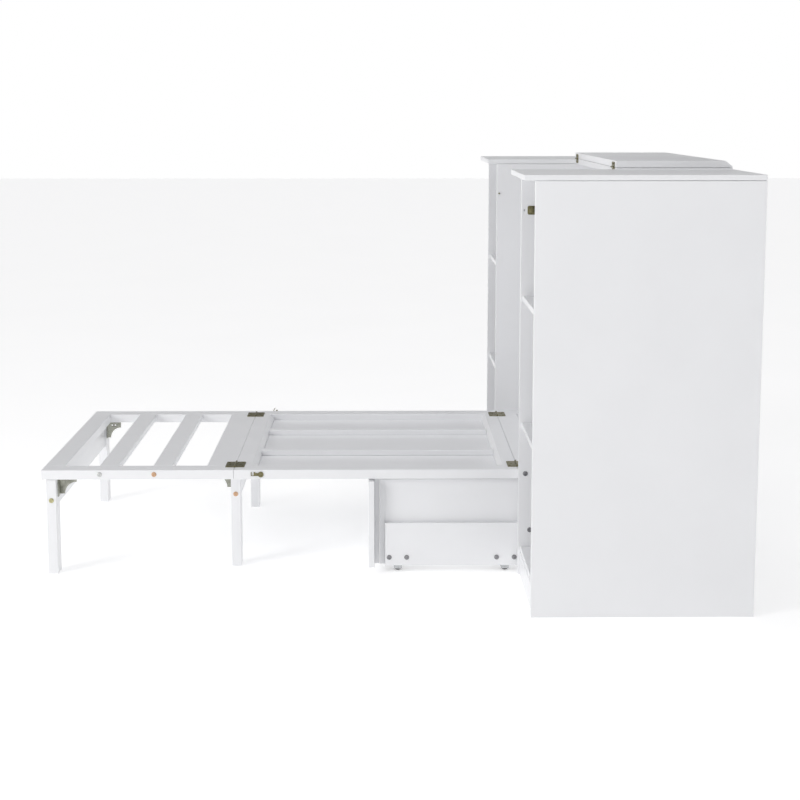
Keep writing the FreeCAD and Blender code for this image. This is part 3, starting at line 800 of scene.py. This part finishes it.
def leg_hardware():
    """Folding leg brackets: pressed plates with eased edges, a pivot rivet and a slot button."""
    rail_halves = frame_copy("leg_rail_brackets", "leg_brackets_on_rails", PLATE_EDGE)
    rivets = []
    for low, high in solids("leg_rail_brackets"):
        side = -1 if low.y + high.y < 0 else 1
        towards_x = 1 if low.x < FOOT_LEGS_BEFORE_X else -1
        pivot_x = (low.x if towards_x > 0 else high.x) + towards_x * BRACKET_PIVOT_INSET
        face = high.y if side < 0 else low.y
        start = Vector((pivot_x, face + side * 0.2 * MM, high.z - BRACKET_PIVOT_DROP))
        rivet = rod("rivet", start, start + Vector((0, -side * 1.4 * MM, 0)), RIVET_RADIUS, 24)
        rivets.append(round_off(rivet, 0.5 * MM, 3, angle=60))
        slot_x = pivot_x + towards_x * SLOT_MIDDLE
        stop = Vector((slot_x, face + side * 2.0 * MM, high.z - SLOT_DROP))
        button_end = stop + Vector((0, -side * 3.2 * MM, 0))
        button = rod("slot_button", stop, button_end, BUTTON_RADIUS, 24)
        rivets.append(round_off(button, 0.5 * MM, 3, angle=60))
    hand_over(joined("leg_brackets_on_rails", [rail_halves, *rivets]), "foot_section",
              bracket_plating, "yellow_zinc", "leg_rail_brackets")
    for node, body in (
        ("foot_leg_fittings", "foot_leg_pair"),
        ("inner_leg_fittings", "inner_leg_pair"),
    ):
        name = node.replace("fittings", "plates")
        plates = frame_copy(node, name, PLATE_EDGE, is_short)
        hand_over(plates, body, bracket_plating, "yellow_zinc", node)


def latch_hardware():
    """Latch hooks with their slotted screws, and the keeper plates with their nuts."""
    for side in ("right", "left"):
        hook = frame_copy(side + "_latch_hook", side + "_hook_plate", 0.4 * MM)
        hand_over(hook, side + "_hook", yellow_plating, "yellow_zinc", side + "_latch_hook")
    heads = []
    for low, high in solids("hook_screws"):
        side = -1 if low.y + high.y < 0 else 1
        face = low.y if side < 0 else high.y
        centre = Vector(((low.x + high.x) / 2, face, (low.z + high.z) / 2))
        inward = Vector((0, -side * 1.0 * MM, 0))
        head = rod("head", centre + inward, centre, (high.x - low.x) / 2, 28)
        head = round_off(head, 0.35 * MM, 3, angle=60)
        slot_low = centre + Vector((-6, -0.5, -0.55)) * MM
        slot_high = centre + Vector((6, 0.5, 0.55)) * MM
        cut_out(head, block("slot", slot_low, slot_high))
        stem = rod("stem", centre + inward, centre + inward * 6, 2.4 * MM, 20)
        heads += [head, stem]
    hand_over(joined("hook_pivot_screws", heads), "middle_section", yellow_plating,
              "yellow_zinc", "hook_screws")
    keepers = []
    for low, high in solids("latch_keepers"):
        side = -1 if low.y + high.y < 0 else 1
        outer, inner = (low.y, high.y) if side < 0 else (high.y, low.y)
        mid_x, mid_z = (low.x + high.x) / 2, (low.z + high.z) / 2
        if high.x - low.x < WIDEST_STUD:
            radius = (high.x - low.x) / 2
            stud = rod("stud", (mid_x, outer, mid_z), (mid_x, inner, mid_z), radius, 24)
            keepers.append(round_off(stud, 0.4 * MM, 2, angle=60))
            continue
        plate_back = inner + side * KEEPER_PLATE
        plate_y = sorted((inner, plate_back))
        plate = block("plate", (low.x, plate_y[0], low.z), (high.x, plate_y[1], high.z))
        pick(plate, "EDGE", lambda middle, along: abs(along.y) > 0.9)
        bpy.ops.mesh.bevel(offset=KEEPER_CORNER, offset_type="OFFSET", segments=5, affect="EDGES")
        close_edit()
        nut = rod("nut", (mid_x, plate_back, mid_z), (mid_x, outer, mid_z), KEEPER_NUT_RADIUS, 6)
        keepers += [round_off(plate, 0.3 * MM, 2), round_off(nut, 0.5 * MM, 2)]
    hand_over(joined("latch_keeper_plates", keepers), "cabinet", yellow_plating,
              "yellow_zinc", "latch_keepers")


def drawer_wheels():
    """Small furniture wheels: a rounded tyre, a dished hub and an axle cap."""
    low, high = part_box("right_front_wheel")
    radius = (high.z - low.z) / 2
    half = (high.y - low.y) / 2
    tyre = rod("tyre", (0, -half, 0), (0, half, 0), radius, 48)
    for side in (-1, 1):
        pick(tyre, "FACE", lambda middle, out: out.y * side > 0.9)
        bpy.ops.mesh.inset(thickness=radius * 0.32)
        bpy.ops.transform.translate(value=(0, -side * 1.6 * MM, 0))
        bpy.ops.mesh.inset(thickness=radius * 0.36)
        bpy.ops.transform.translate(value=(0, side * 1.2 * MM, 0))
        close_edit()
    round_off(tyre, 1.2 * MM, 3, angle=50)
    for node in ("right_front_wheel", "left_front_wheel", "right_rear_wheel", "left_rear_wheel"):
        low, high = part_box(node)
        wheel = another(tyre, node + "_tyre", (low + high) / 2)
        hand_over(wheel, node + "_body", wheel_grey, "wheel_plastic", node)
    put_away(tyre)
    forks = frame_copy("wheel_brackets", "wheel_forks", 0.4 * MM)
    hand_over(forks, "drawer", grey_plating, "plated_steel", "wheel_brackets")


# ---------------------------------------------------------------- the object

set_camera()
set_studio()

panel_paint = white_paint("white_panel_paint", "none")
paint_along_x = white_paint("white_paint_grain_along_bed", "x")
paint_along_y = white_paint("white_paint_grain_across_bed", "y")
paint_along_z = white_paint("white_paint_grain_upright", "z")
yellow_plating = plated_metal(
    "yellow_zinc_plating", (0.30, 0.275, 0.15), (0.16, 0.148, 0.08), 0.30, 0.48)
bracket_plating = plated_metal(
    "pale_zinc_plating", (0.44, 0.445, 0.39), (0.27, 0.275, 0.235), 0.30, 0.48)
bright_plating = plated_metal("bright_zinc_plating", (0.72, 0.72, 0.70), (0.55, 0.56, 0.56))
copper_plating = plated_metal("copper_plating", (0.74, 0.50, 0.33), (0.56, 0.35, 0.22))
brass_plating = plated_metal("brass_plating", (0.62, 0.58, 0.34), (0.44, 0.42, 0.24))
dark_plating = plated_metal("dark_grey_plating", (0.34, 0.34, 0.35), (0.22, 0.22, 0.23))
grey_plating = plated_metal("grey_zinc_plating", (0.60, 0.61, 0.62), (0.44, 0.45, 0.46))
wheel_grey = moulded_plastic("grey_wheel_plastic", (0.30, 0.30, 0.30), (0.22, 0.22, 0.22))

painted_boards()
bevelled_cross_rails()
recessed_panel()
turned_back_lid()
notched_boards()
all_bolts()
butt_hinges()
leg_hardware()
latch_hardware()
drawer_wheels()

deselect()
